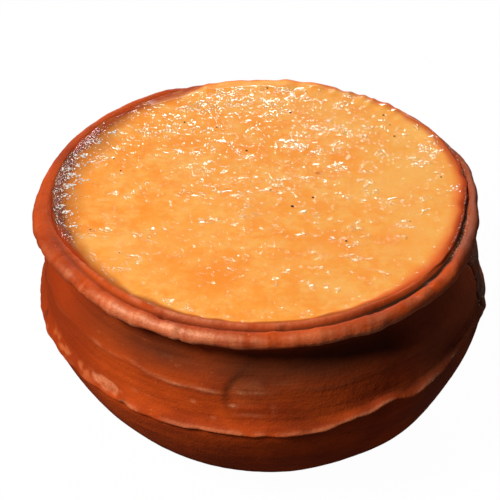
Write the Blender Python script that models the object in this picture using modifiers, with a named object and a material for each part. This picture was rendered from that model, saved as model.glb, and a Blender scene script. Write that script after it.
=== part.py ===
"""Set curd in the unglazed clay pot it was poured and baked in.

The pot is a low, round-bottomed handi: a rolled lip with a scored groove, a pinched neck,
a shoulder, and a seam where the beaten lower bowl laps over the thrown upper body.
The curd fills it to the brim and has crept over the lip along the back.
Metres, +Z up; the origin is the middle of the flat spot the pot stands on.
"""
import math

import bpy
import numpy as np
from mathutils import Vector, noise

MM = 0.001

# Driving dimensions
LIP_RADIUS = 65.0 * MM            # outer edge of the rolled lip
POT_HEIGHT = 74.0 * MM            # lip crest above the base
ROLL_RADIUS = 2.35 * MM           # the lip is a round roll of this radius
INNER_LIP_RADIUS = 58.8 * MM      # crest of the low lip inside the groove
INNER_LIP_RISE = 0.1 * MM         # that crest above the roll's
GROOVE_RADIUS = 60.2 * MM
GROOVE_DEPTH = 0.9 * MM
MOUTH_RADIUS = 57.4 * MM          # inner wall at the mouth
NECK_RADIUS = 60.4 * MM
NECK_DEPTH = 9.2 * MM             # neck below the lip crest
FLANGE_RADIUS = 68.1 * MM         # edge of the lapped seam
FLANGE_DEPTH = 32.3 * MM
BOWL_RADIUS = 67.6 * MM           # top of the bowl, just under the seam
BOWL_DEPTH = 33.4 * MM            # its top below the lip crest
BOWL_DROP = 41.15 * MM            # from there to the pole of the bowl's curve
BOWL_SQUARENESS = 0.408           # 1 would be a round bowl
BOWL_FLATNESS = 1.92
WALL = 6.0 * MM
FLOOR = 7.0 * MM                  # thickness of the base
CURD_DEPTH = 0.3 * MM             # curd surface below the lip crest
GAP = 0.3 * MM                    # between curd and clay
SEGMENTS = 84

# Radius and depth below the lip crest, down the outside from the neck to the seam
SHOULDER = [(61.3 * MM, 12.6 * MM), (63.6 * MM, 16.6 * MM), (64.6 * MM, 19.2 * MM),
            (65.3 * MM, 24.6 * MM), (66.1 * MM, 28.6 * MM)]
# and down the inside, from the mouth to the top of the cavity's bowl
INSIDE = [(56.7 * MM, 8.0 * MM), (58.4 * MM, 14.5 * MM), (61.4 * MM, 24.0 * MM)]

# How far from round and level the hand-made pot is
LEAN = 3.3 * MM                   # the base sits this far to +X of the mouth
FLANGE_LEAN = 2.15 * MM           # the seam's share of it, from the base up
SHOULDER_LEVEL = 54.0 * MM        # height of the shoulder's swelling
BOWL_LEVEL = 22.0 * MM            # and of the bowl's
# Swellings and steps: bearing, half width in degrees, how far they stand out or up
LIP_BULGES = [(193, 15, 1.9 * MM), (353, 14, -0.53 * MM)]
SHOULDER_BULGES = [(14, 26, 1.4 * MM), (165, 22, 0.42 * MM)]
BOWL_BULGES = [(308, 15, 1.3 * MM)]
SEAM_STEPS = [(292, 5, 1.6 * MM), (301, 4, 3.2 * MM), (326, 13, 3.9 * MM)]

# Where the curd has crept over the clay
BARE_FRONT = (228, 301)           # bearings between which the inner lip shows
RUN_OVER = (28, 102)              # bearings between which curd lies on the lip's crest
RUN_DOWN = (56, 104)              # and between which it hangs over
LUMPY = (53, 98)                  # and is lumpy
BEHIND = (40, 150)                # bearings between which the inner lip is lowest
COVERED_SAG = 1.5 * MM            # inner lip below its bare height, where curd covers it
INNER_SAG = 2.6 * MM              # and at the back
LIP_SAG = 2.3 * MM                # the whole lip, where curd hangs over it
CREST_SAG = 0.7 * MM              # and beside that
OVERLAP_RADIUS = 63.9 * MM        # curd's edge on the lip's crest
CREEP_RADIUS = 60.3 * MM          # curd's edge in the groove

CURD_RELIEF = 0.45 * MM
CURD_LUMP = 1.1 * MM              # lumps along the edge that ran over
CREPT_THICKNESS = 0.5 * MM        # least thickness of curd on the lip
EDGE_DROOP = 0.25 * MM            # the surface rounds down to its edge
CREPT_DROOP = 1.15 * MM           # and further where it ran over


def falloff(angle, centre, width):
    """Bell of height 1 round a bearing, in degrees anticlockwise from +X."""
    away = (angle - centre + 180.0) % 360.0 - 180.0
    return np.exp(-(away / width) ** 2)


def span(angle, start, end, soften):
    """1 between two bearings, easing to 0 over `soften` degrees outside them."""
    middle, half = 0.5 * (start + end), 0.5 * (end - start)
    away = np.abs((angle - middle + 180.0) % 360.0 - 180.0) - half
    return 1.0 - ease(away / soften)


def ease(t):
    t = np.clip(t, 0.0, 1.0)
    return t * t * (3.0 - 2.0 * t)


def bumps(angle, rows):
    """Sum of bells given as (bearing, half width, height)."""
    return sum(height * falloff(angle, centre, width) for centre, width, height in rows)


def arc(centre, radius, start, end, count):
    angles = np.radians(np.linspace(start, end, count))
    return [(centre[0] + radius * math.cos(a), centre[1] + radius * math.sin(a)) for a in angles]


def smooth_path(points, steps):
    """Catmull-Rom curve through (radius, height) points."""
    knots = np.array([points[0], *points, points[-1]])
    path = []
    for p0, p1, p2, p3 in zip(knots[:-3], knots[1:-2], knots[2:-1], knots[3:]):
        for t in np.arange(steps) / steps:
            path.append(0.5 * (2 * p1 + (p2 - p0) * t + (2 * p0 - 5 * p1 + 4 * p2 - p3) * t ** 2
                               + (3 * p1 - p0 - 3 * p2 + p3) * t ** 3))
    return [tuple(p) for p in path] + [tuple(points[-1])]


def bowl_curve(inset, lift, base, count):
    """Squarish bowl: radius falls as a power of cos, height as one of sin, down to `base`."""
    top = POT_HEIGHT - BOWL_DEPTH
    drop = BOWL_DROP - lift
    last = math.asin(((top - base) / drop) ** (1 / BOWL_FLATNESS))
    turns = last * np.linspace(0.0, 1.0, count) ** 0.8       # closer together near the seam
    return [((BOWL_RADIUS - inset) * math.cos(t) ** BOWL_SQUARENESS,
             top - drop * math.sin(t) ** BOWL_FLATNESS) for t in turns]


# Profiles

def cavity_side(inset):
    """Inner wall from the floor up to under the mouth, moved inwards by `inset`."""
    lower = bowl_curve(WALL + inset, FLOOR + inset, FLOOR + inset, 7)[::-1]
    upper = INSIDE[::-1] + [(MOUTH_RADIUS, 2.2 * MM)]
    return lower + [(r - inset, POT_HEIGHT - depth) for r, depth in upper]


def lip_profile():
    """Inner lip, groove and outer roll."""
    inner = [(MOUTH_RADIUS + 0.3 * MM, -0.7 * MM), (INNER_LIP_RADIUS, INNER_LIP_RISE),
             (GROOVE_RADIUS - 0.6 * MM, -0.25 * MM), (GROOVE_RADIUS, -GROOVE_DEPTH)]
    roll = arc((LIP_RADIUS - ROLL_RADIUS, -ROLL_RADIUS), ROLL_RADIUS, 135, -80, 8)
    return [(r, POT_HEIGHT + z) for r, z in inner + roll]


def body_profile():
    """Neck, shoulder with its faint upper ridge, and the flare out to the seam."""
    knots = [(LIP_RADIUS - 1.5 * ROLL_RADIUS, 2.4 * ROLL_RADIUS), (NECK_RADIUS, NECK_DEPTH), *SHOULDER,
             (FLANGE_RADIUS - 0.5 * MM, FLANGE_DEPTH - 0.8 * MM)]
    edge = [(FLANGE_RADIUS, FLANGE_DEPTH), (FLANGE_RADIUS - 0.1 * MM, FLANGE_DEPTH + 0.6 * MM)]
    return [(r, POT_HEIGHT - depth) for r, depth in smooth_path(knots, 2) + edge]


def pot_profile():
    outer = bowl_curve(0.0, 0.0, 0.0, 10)
    return [(0.0, FLOOR)] + cavity_side(0.0) + lip_profile() + body_profile() + outer + [(0.0, 0.0)]


def curd_profile():
    """Flat top out to the mouth, three edge rings one above another, then the wall."""
    top = [(r, CURD_TOP) for r in MOUTH_INSIDE * np.linspace(0.0, 1.0, 17)]
    edge = [(MOUTH_INSIDE, level) for level in (EDGE_SIDE, EDGE_UNDER, EDGE_ROOT)]
    return top + edge + cavity_side(GAP)[::-1] + [(0.0, FLOOR + GAP)]


CURD_TOP = POT_HEIGHT - CURD_DEPTH
MOUTH_INSIDE = MOUTH_RADIUS - GAP
EDGE_SIDE = CURD_TOP - 0.4 * MM
EDGE_UNDER = CURD_TOP - 0.8 * MM
EDGE_ROOT = CURD_TOP - 1.3 * MM


# Unevenness, as functions of bearing and height

def lean(height):
    """Sideways shift in +X, 0 at the base and -LEAN at the mouth."""
    seam = POT_HEIGHT - FLANGE_DEPTH
    return -np.interp(height, [0.0, seam, POT_HEIGHT - NECK_DEPTH], [0.0, FLANGE_LEAN, LEAN])


def lip_bulge(angle, radius):
    """The outer lip stands out on the left and is a little pinched on the right."""
    outer = ease((radius - 0.85 * LIP_RADIUS) / (0.15 * LIP_RADIUS))
    return outer * bumps(angle, LIP_BULGES)


def inner_sag(angle):
    """How far the inner lip is pressed down under the curd, all round but at the front."""
    covered = 1.0 - span(angle, *BARE_FRONT, 8)
    return COVERED_SAG * covered + (INNER_SAG - COVERED_SAG) * span(angle, *BEHIND, 22)


def lip_sag(angle):
    return np.maximum(LIP_SAG * span(angle, *RUN_DOWN, 16), CREST_SAG * span(angle, *RUN_OVER, 16))


def side_bulges(angle, height):
    """Swellings of the outside: the shoulder on the right, and low on the bowl beside it."""
    high = np.exp(-((height - SHOULDER_LEVEL) / (6 * MM)) ** 2)
    low = np.exp(-((height - BOWL_LEVEL) / (7 * MM)) ** 2)
    return bumps(angle, SHOULDER_BULGES) * high + bumps(angle, BOWL_BULGES) * low


def overlap(angle):
    """How far the curd has crept from the mouth over the clay, as the radius of its edge."""
    bare = span(angle, BARE_FRONT[0] - 8, BARE_FRONT[1] + 8, 24)
    creep = MOUTH_INSIDE + (CREEP_RADIUS - MOUTH_INSIDE) * (1.0 - bare)
    return creep + (OVERLAP_RADIUS - creep) * span(angle, *RUN_OVER, 12)


def clay_top(angle, radius):
    """Highest clay under the curd out to a radius: the inner lip's crest, or the roll further out."""
    inner = POT_HEIGHT + INNER_LIP_RISE - inner_sag(angle)
    inwards = np.clip(LIP_RADIUS - ROLL_RADIUS - radius, 0.0, ROLL_RADIUS)
    roll = POT_HEIGHT - ROLL_RADIUS + np.sqrt(ROLL_RADIUS ** 2 - inwards ** 2) - lip_sag(angle)
    return np.where(radius > CREEP_RADIUS + 0.2 * MM, np.maximum(inner, roll), inner)


def curd_relief(angle, radius):
    """Broad folds of the skin, and lumps along the edge that ran over."""
    folds = np.array([noise.fractal(Vector((r * math.cos(a) / 0.016, r * math.sin(a) / 0.009, 3.7)),
                                    1.0, 2.0, 3) for a, r in zip(np.radians(angle), radius)])
    fade = 1.0 - ease((radius - 0.82 * LIP_RADIUS) / (0.07 * LIP_RADIUS)) * (1.0 - span(angle, *LUMPY, 8))
    scallops = 0.55 + 0.45 * np.cos(np.radians(angle) * 31.0 + 1.5 * np.sin(np.radians(angle) * 5.0))
    rim = ease((radius - 0.80 * LIP_RADIUS) / (0.12 * LIP_RADIUS)) * span(angle, *LUMPY, 10)
    return CURD_RELIEF * folds * fade + CURD_LUMP * scallops * rim


# Building

def turned(name, profile, collection):
    """Screws a profile round Z and returns the new object's own mesh."""
    mesh = bpy.data.meshes.new(name + "_profile")
    mesh.from_pydata([(r, 0.0, z) for r, z in profile], [(i, i + 1) for i in range(len(profile) - 1)], [])
    guide = bpy.data.objects.new(name + "_profile", mesh)
    collection.objects.link(guide)
    screw = guide.modifiers.new("turn", "SCREW")
    screw.axis = "Z"
    screw.steps = SEGMENTS
    screw.render_steps = SEGMENTS
    screw.use_merge_vertices = True
    screw.merge_threshold = 0.00001
    depsgraph = bpy.context.evaluated_depsgraph_get()
    solid = bpy.data.meshes.new_from_object(guide.evaluated_get(depsgraph))
    bpy.data.objects.remove(guide)
    bpy.data.meshes.remove(mesh)
    solid.name = name
    piece = bpy.data.objects.new(name, solid)
    collection.objects.link(piece)
    return piece


def polar(piece):
    """Bearing in degrees, radius and height of every vertex."""
    points = np.empty(len(piece.data.vertices) * 3)
    piece.data.vertices.foreach_get("co", points)
    x, y, z = points.reshape(-1, 3).T
    return np.degrees(np.arctan2(y, x)) % 360.0, np.hypot(x, y), z


def place(piece, angle, radius, height):
    """Puts the vertices back, leaning with the pot."""
    turn = np.radians(angle)
    x = radius * np.cos(turn) + lean(height)
    points = np.stack([x, radius * np.sin(turn), height], axis=1)
    piece.data.vertices.foreach_set("co", points.ravel())
    piece.data.update()
    piece.data.shade_smooth()


def finish(piece, colour, roughness):
    material = bpy.data.materials.new(piece.name)
    material.use_nodes = True
    shader = material.node_tree.nodes["Principled BSDF"]
    shader.inputs["Base Color"].default_value = (*colour, 1.0)
    shader.inputs["Roughness"].default_value = roughness
    shader.inputs["Metallic"].default_value = 0.0
    piece.data.materials.append(material)


def make_pot(collection):
    pot = turned("clay_pot", pot_profile(), collection)
    angle, radius, height = polar(pot)
    near_lip = ease((height - POT_HEIGHT + 8.5 * MM) / (5.5 * MM))
    on_roll = ease((radius - GROOVE_RADIUS - 0.1 * MM) / (0.6 * MM))
    near_seam = np.exp(-((height - POT_HEIGHT + FLANGE_DEPTH) / (3.4 * MM)) ** 2)
    outside = radius > BOWL_RADIUS - 0.6 * WALL
    sag = inner_sag(angle) * (1.0 - on_roll) + lip_sag(angle) * on_roll
    new_radius = radius + lip_bulge(angle, radius) * near_lip
    new_radius += side_bulges(angle, height) * (radius > outside_radius(height) - 0.5 * WALL)
    new_height = height - sag * near_lip + bumps(angle, SEAM_STEPS) * near_seam * outside
    place(pot, angle, new_radius, new_height)
    finish(pot, (0.40, 0.085, 0.02), 0.75)


def outside_radius(height):
    """Radius of the outside at a height: the bowl's curve, or the neck's above the seam."""
    drop = np.clip((POT_HEIGHT - BOWL_DEPTH - height) / BOWL_DROP, 0.0, 1.0)
    bowl = BOWL_RADIUS * np.cos(np.arcsin(drop ** (1 / BOWL_FLATNESS))) ** BOWL_SQUARENESS
    return np.where(drop > 0.0, bowl, NECK_RADIUS + 0.3 * WALL)


def make_curd(collection):
    curd = turned("sweet_curd", curd_profile(), collection)
    angle, radius, height = polar(curd)
    edge = overlap(angle)
    share = radius / MOUTH_INSIDE
    under = clay_top(angle, edge) + GAP
    is_top = np.abs(height - CURD_TOP) < 1e-6
    is_side = np.abs(height - EDGE_SIDE) < 1e-6
    is_under = np.abs(height - EDGE_UNDER) < 1e-6
    is_root = np.abs(height - EDGE_ROOT) < 1e-6
    crept = ease((edge - MOUTH_INSIDE) / (1.0 * MM))
    spread = radius + (edge - MOUTH_INSIDE) * ease((share - 0.8) / 0.2)
    new_radius = np.where(is_top | is_side | is_under, spread, radius)
    surface = CURD_TOP + curd_relief(angle, spread)
    droop = EDGE_DROOP + CREPT_DROOP * ease((edge - CREEP_RADIUS) / (OVERLAP_RADIUS - CREEP_RADIUS))
    rounded = surface - droop * ease((share - 0.92) / 0.08)
    floor = under + CREPT_THICKNESS * crept
    new_height = np.where(is_top, np.where(share > 0.95, np.maximum(rounded, floor), rounded), height)
    flat = EDGE_UNDER + (under - EDGE_UNDER) * crept
    new_height = np.where(is_side, EDGE_SIDE + (under + 0.35 * MM - EDGE_SIDE) * crept, new_height)
    new_height = np.where(is_under, flat, new_height)
    new_height = np.where(is_root, EDGE_ROOT + (np.minimum(under, EDGE_UNDER) - EDGE_ROOT) * crept,
                          new_height)
    place(curd, angle, new_radius, new_height)
    finish(curd, (0.95, 0.38, 0.08), 0.35)


for old in list(bpy.data.objects):
    bpy.data.objects.remove(old)
doi = bpy.data.collections.new("mishti_doi")
bpy.context.scene.collection.children.link(doi)
make_pot(doi)
make_curd(doi)
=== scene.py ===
import math

import bpy
import numpy as np
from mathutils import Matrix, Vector


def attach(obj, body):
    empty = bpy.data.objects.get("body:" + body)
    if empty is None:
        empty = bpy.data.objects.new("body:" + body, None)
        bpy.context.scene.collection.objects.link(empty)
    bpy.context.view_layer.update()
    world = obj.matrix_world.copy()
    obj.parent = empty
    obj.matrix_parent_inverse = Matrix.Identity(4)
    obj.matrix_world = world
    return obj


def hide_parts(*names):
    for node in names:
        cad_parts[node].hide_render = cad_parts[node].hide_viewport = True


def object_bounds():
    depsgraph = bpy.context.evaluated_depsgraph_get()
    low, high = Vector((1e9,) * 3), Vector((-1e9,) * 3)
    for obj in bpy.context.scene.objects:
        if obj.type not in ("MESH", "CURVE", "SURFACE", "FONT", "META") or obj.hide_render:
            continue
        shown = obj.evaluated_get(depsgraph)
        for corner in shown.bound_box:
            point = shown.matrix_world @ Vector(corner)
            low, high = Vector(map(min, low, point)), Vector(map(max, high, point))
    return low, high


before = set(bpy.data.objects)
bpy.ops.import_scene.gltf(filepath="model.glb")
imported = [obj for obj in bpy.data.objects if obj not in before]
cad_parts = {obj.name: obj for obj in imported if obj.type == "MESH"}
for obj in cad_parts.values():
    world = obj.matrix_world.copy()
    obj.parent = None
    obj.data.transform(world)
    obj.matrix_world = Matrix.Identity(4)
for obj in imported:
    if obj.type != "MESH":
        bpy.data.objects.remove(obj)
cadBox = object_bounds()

# Set curd in its clay pot. Lengths below are in millimetres, bearings in degrees
# anticlockwise from +X seen from above, the side nearest the camera being 270. A level is a
# height counted from the lip's crest, and deep is a level in lip radii.

mm = 0.001
lipHeight = 74.0                      # lip crest above the base
lipRadius = 65.0
mouthShift = -3.3                     # the mouth's middle, along X from the base's middle


def ease(t):                          # 0 below 0, 1 above 1, and 3t² - 2t³ between
    t = np.clip(t, 0.0, 1.0)
    return t * t * (3.0 - 2.0 * t)


def strength(distance, width):        # exp(-(distance / width)²)
    return np.exp(-(distance / width) ** 2)


def bell(angle, centre, width):       # the same, for the distance from a bearing
    return strength((angle - centre + 180.0) % 360.0 - 180.0, width)


def span(angle, start, end, soften):  # 1 between two bearings, easing to 0 outside them
    away = np.abs((angle - 0.5 * (start + end) + 180.0) % 360.0 - 180.0)
    return 1.0 - ease((away - 0.5 * (end - start)) / soften)


# the largest of some bells on a plane: x, y, half width and half depth of each
def bells(x, y, places):
    most = np.zeros_like(x)
    for atX, atY, wide, tall in places:
        most = np.maximum(most, strength(x - atX, wide) * strength(y - atY, tall))
    return most


# closed curve through (bearing, value) knots, its corners rounded over a few degrees
def around(angle, knots, rounding=2.5):
    at, value = np.array(sorted(knots), float).T
    at = np.concatenate([at - 360.0, at, at + 360.0])
    value = np.tile(value, 3)
    fine = np.arange(-30.0, 390.0, 0.5)
    soft = np.exp(-0.5 * (np.arange(-12, 13) * 0.5 / rounding) ** 2)
    smooth = np.convolve(np.interp(fine, at, value), soft / soft.sum(), "same")
    return np.interp(np.asarray(angle) % 360.0, fine, smooth)


# white noise blurred by a bell of the given lengths, scaled to a spread of 1; it repeats
def blurredNoise(shape, cell, lengths, seed):
    white = np.random.default_rng(seed).standard_normal(shape)
    ky = np.fft.fftfreq(shape[0], cell[0])[:, None] * lengths[0]
    kx = np.fft.rfftfreq(shape[1], cell[1])[None, :] * lengths[1]
    soft = np.fft.irfft2(np.fft.rfft2(white) * np.exp(-2.0 * math.pi ** 2 * (kx ** 2 + ky ** 2)), s=shape)
    return (soft - soft.mean()) / soft.std()


# one piece of the model from points in mm and faces, its masks kept as point attributes
def addMesh(name, points, faces, material, attributes=None, replaces=()):
    mesh = bpy.data.meshes.new(name)
    mesh.from_pydata((points * mm).tolist(), [], faces)
    mesh.update()
    mesh.shade_smooth()
    for key, values in (attributes or {}).items():
        mesh.attributes.new(key, "FLOAT", "POINT").data.foreach_set("value", values.astype(np.float32))
    mesh.materials.append(material)
    piece = bpy.data.objects.new(name, mesh)
    bpy.context.scene.collection.objects.link(piece)
    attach(piece, "root")
    if replaces:
        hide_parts(*replaces)
    print(name, len(mesh.vertices), "points", sum(len(f) - 2 for f in faces), "triangles")


# a node with its settings, each input linked to a socket or given a value
def node(tree, kind, inputs=None, **settings):
    made = tree.nodes.new(kind)
    for key, value in settings.items():
        setattr(made, key, value)
    for key, value in (inputs or {}).items():
        if isinstance(value, bpy.types.NodeSocket):
            tree.links.new(value, made.inputs[key])
        else:
            made.inputs[key].default_value = value
    return made


# the first colour where the mask is 0, the second where it is 1
def mixColour(tree, mask, first, second):
    mix = node(tree, "ShaderNodeMix", data_type="RGBA")
    for socket, value in zip((mix.inputs[0], mix.inputs[6], mix.inputs[7]), (mask, first, second)):
        if isinstance(value, bpy.types.NodeSocket):
            tree.links.new(value, socket)
        elif socket.type == "RGBA":
            socket.default_value = (*value, 1.0)
        else:
            socket.default_value = value
    return mix.outputs[2]


# one sum on two or three sockets or numbers
def calculate(tree, how, first, second, third=None):
    inputs = {0: first, 1: second}
    if third is not None:
        inputs[2] = third
    return node(tree, "ShaderNodeMath", inputs, operation=how).outputs[0]


# a mask kept on the points
def attribute(tree, name):
    return node(tree, "ShaderNodeAttribute", attribute_name=name).outputs["Fac"]


# an empty group with named inputs and outputs
def makeGroup(name, inputs, outputs):
    group = bpy.data.node_groups.new(name, "ShaderNodeTree")
    for key, kind, value in inputs:
        socket = group.interface.new_socket(key, in_out="INPUT", socket_type=kind)
        if value is not None:
            socket.default_value = value
    for key, kind in outputs:
        group.interface.new_socket(key, in_out="OUTPUT", socket_type=kind)
    return group, group.nodes.new("NodeGroupInput"), group.nodes.new("NodeGroupOutput")


# a group placed in a material, its inputs given in their order
def useGroup(tree, group, values):
    made = node(tree, "ShaderNodeGroup", node_tree=group)
    for socket, value in zip(made.inputs, values):
        socket.default_value = value
    return made.outputs[0]


# blotches: noise stretched by Stretch, its range from Low to High spread from 0 to 1
def buildMottle():
    group, given, result = makeGroup(
        "mottle",
        [("Stretch", "NodeSocketVector", (1.0, 1.0, 1.0)), ("Scale", "NodeSocketFloat", 50.0),
         ("Detail", "NodeSocketFloat", 3.0), ("Low", "NodeSocketFloat", 0.35),
         ("High", "NodeSocketFloat", 0.65)],
        [("Mask", "NodeSocketFloat")])
    where = node(group, "ShaderNodeTexCoord").outputs["Object"]
    placed = node(group, "ShaderNodeMapping", {"Vector": where, "Scale": given.outputs["Stretch"]})
    noise = node(group, "ShaderNodeTexNoise", {"Vector": placed.outputs[0], "Scale": given.outputs["Scale"],
                                               "Detail": given.outputs["Detail"], "Roughness": 0.55})
    spread = node(group, "ShaderNodeMapRange", {"Value": noise.outputs[0], "From Min": given.outputs["Low"],
                                                "From Max": given.outputs["High"]},
                  interpolation_type="SMOOTHSTEP")
    group.links.new(spread.outputs[0], result.inputs["Mask"])
    return group


# curly ridges: 1 where warped noise crosses its middle and 0 once Width away from it, broken into
# short lengths where a second noise is low
def buildSquiggles():
    group, given, result = makeGroup(
        "squiggles",
        [("Stretch", "NodeSocketVector", (1.0, 1.0, 1.0)), ("Scale", "NodeSocketFloat", 400.0),
         ("Curl", "NodeSocketFloat", 1.0), ("Width", "NodeSocketFloat", 0.06),
         ("Gaps", "NodeSocketFloat", 0.5)],
        [("Height", "NodeSocketFloat")])
    where = node(group, "ShaderNodeTexCoord").outputs["Object"]
    placed = node(group, "ShaderNodeMapping", {"Vector": where, "Scale": given.outputs["Stretch"]})
    noise = node(group, "ShaderNodeTexNoise", {"Vector": placed.outputs[0], "Scale": given.outputs["Scale"],
                                               "Detail": 1.0, "Distortion": given.outputs["Curl"]})
    away = calculate(group, "ABSOLUTE", calculate(group, "SUBTRACT", noise.outputs[0], 0.5), 0.0)
    ridge = node(group, "ShaderNodeMapRange", {"Value": away, "From Min": given.outputs["Width"],
                                               "From Max": 0.0}, interpolation_type="SMOOTHSTEP")
    moved = node(group, "ShaderNodeMapping", {"Vector": where, "Location": (0.031, 0.017, 0.0)})
    patchy = node(group, "ShaderNodeTexNoise", {"Vector": moved.outputs[0], "Scale": given.outputs["Scale"],
                                                "Detail": 0.0})
    full = calculate(group, "ADD", given.outputs["Gaps"], 0.12)
    kept = node(group, "ShaderNodeMapRange", {"Value": patchy.outputs[0], "From Min": given.outputs["Gaps"],
                                              "From Max": full}, interpolation_type="SMOOTHSTEP")
    height = calculate(group, "MULTIPLY", ridge.outputs[0], kept.outputs[0])
    group.links.new(height, result.inputs["Height"])
    return group


mottleGroup, squiggleGroup = buildMottle(), buildSquiggles()


def newMaterial(name):
    material = bpy.data.materials.new(name)
    material.use_nodes = True
    tree = material.node_tree
    return material, tree, tree.nodes["Principled BSDF"]


# the look's layers painted over a colour, each by its share of a noise
def paintLayers(tree, look, noises, colour):
    for name, share, paint in look["layers"]:
        colour = mixColour(tree, calculate(tree, "MULTIPLY", noises[name], share), colour, look[paint])
    return colour


# the look's colours painted where the masks of the same names are
def paintMasks(tree, look, masks, colour):
    for name in masks:
        colour = mixColour(tree, attribute(tree, name), colour, look[name])
    return colour


# bumps laid over each other, each a height and a depth in metres; below 0 it is a pit
def layBumps(tree, bumps):
    normal = None
    for height, depth in bumps:
        inputs = {"Height": height, "Strength": 1.0, "Distance": abs(depth)}
        if normal is not None:
            inputs["Normal"] = normal
        normal = node(tree, "ShaderNodeBump", inputs, invert=depth < 0).outputs[0]
    return normal


clayLook = dict(
    deep=(0.34, 0.033, 0.0020),
    warm=(0.56, 0.066, 0.0035),
    # painted shade on the body's left and in a soft stripe at the right front
    bodyShade=(0.34, 0.033, 0.0020),
    pale=(0.78, 0.215, 0.060),
    # painted shade: the colour laid where shade falls under the lip, in the groove, the crevices and the
    # chip, on the thumb mark's left wall and at the far right
    paintedShade=(0.042, 0.0115, 0.0025),
    # pale grit, which also stands in for painted glints on wet dark places at the right and on the lip's back
    # left
    gritAndGlints=(0.85, 0.62, 0.42),
    # painted highlights on the lip and along the seam, and paler clay on the flake, ridge and scuffs
    glow=(0.92, 0.34, 0.155),
    # painted grey sheen: a greyish reflection on the right of the lip and body, along the seam's right end
    # and past the right crevice
    paintedSheen=(0.25, 0.082, 0.046),
    # noises: stretch, scale, detail, low, high
    noises=dict(blotch=((1.0, 1.0, 1.6), 60.0, 5.0, 0.34, 0.64),
                smear=((0.35, 0.35, 1.3), 190.0, 4.0, 0.50, 0.72),
                streak=((0.05, 0.05, 1.0), 620.0, 3.0, 0.30, 0.70),
                grain=((1.0, 1.0, 1.0), 1500.0, 3.0, 0.30, 0.70),
                lump=((1.0, 1.0, 1.0), 420.0, 3.0, 0.25, 0.75),
                pit=((0.7, 0.7, 1.0), 620.0, 1.0, 0.72, 0.79),
                dust=((0.6, 0.6, 1.0), 820.0, 2.0, 0.68, 0.76),
                sparkle=((1.0, 1.0, 1.0), 2000.0, 1.0, 0.55, 0.64)),
    # painted over the blotches in this order: noise, share, colour; the pits take the painted shade's colour
    layers=[("smear", 0.55, "deep"), ("streak", 0.30, "warm"), ("grain", 0.05, "pale"),
            ("dust", 0.40, "pale"), ("pit", 0.25, "paintedShade")],
    roughness=0.76,
    blotchRoughness=0.08,
    soaked=0.50,                      # roughness taken off where syrup has wetted the clay
    sheen=0.30,                       # coat on the rubbed lip
    coatRoughness=0.42,
    specular=0.15,
    grainDepth=0.00005,
    lumpDepth=0.00007,
    streakDepth=0.00007,
)


# terracotta: blotches, turning streaks, dust, pits and grit, with the masks painted over them, among them
# painted shade, painted highlights, a painted grey sheen and painted glints
def makeClay():
    look = clayLook
    material, tree, shader = newMaterial("terracotta")
    noises = {name: useGroup(tree, mottleGroup, values) for name, values in look["noises"].items()}
    colour = mixColour(tree, noises["blotch"], look["deep"], look["warm"])
    colour = paintLayers(tree, look, noises, colour)
    # painted shade on the body's sides, then paler chips and the dent
    colour = paintMasks(tree, look, ("bodyShade", "pale"), colour)
    uneven = calculate(tree, "MULTIPLY_ADD", noises["grain"], 0.5, 0.75)
    # painted highlights and paler clay, made uneven by the grain
    highlightAndDust = calculate(tree, "MULTIPLY", attribute(tree, "glow"), uneven)
    colour = mixColour(tree, highlightAndDust, colour, look["glow"])
    # the painted grey sheen, then the painted shade, over the colour so far
    colour = paintMasks(tree, look, ("paintedSheen", "paintedShade"), colour)
    # fine pale grains where the grit and the painted glints are
    grains = calculate(tree, "MULTIPLY", noises["sparkle"], attribute(tree, "gritAndGlints"))
    colour = mixColour(tree, grains, colour, look["gritAndGlints"])
    lines = calculate(tree, "MULTIPLY", noises["streak"], attribute(tree, "turned"))
    normal = layBumps(tree, [(noises["grain"], look["grainDepth"]), (noises["lump"], look["lumpDepth"]),
                             (lines, look["streakDepth"]), (noises["pit"], -look["lumpDepth"])])
    dull = calculate(tree, "MULTIPLY_ADD", noises["blotch"], look["blotchRoughness"], look["roughness"])
    dull = calculate(tree, "MULTIPLY_ADD", attribute(tree, "wet"), -look["soaked"], dull)
    coat = calculate(tree, "MULTIPLY", attribute(tree, "polish"), look["sheen"])
    for name, value in (("Base Color", colour), ("Normal", normal), ("Roughness", dull),
                        ("Coat Weight", coat)):
        tree.links.new(value, shader.inputs[name])
    shader.inputs["Coat Roughness"].default_value = look["coatRoughness"]
    shader.inputs["Specular IOR Level"].default_value = look["specular"]
    return material


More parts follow.
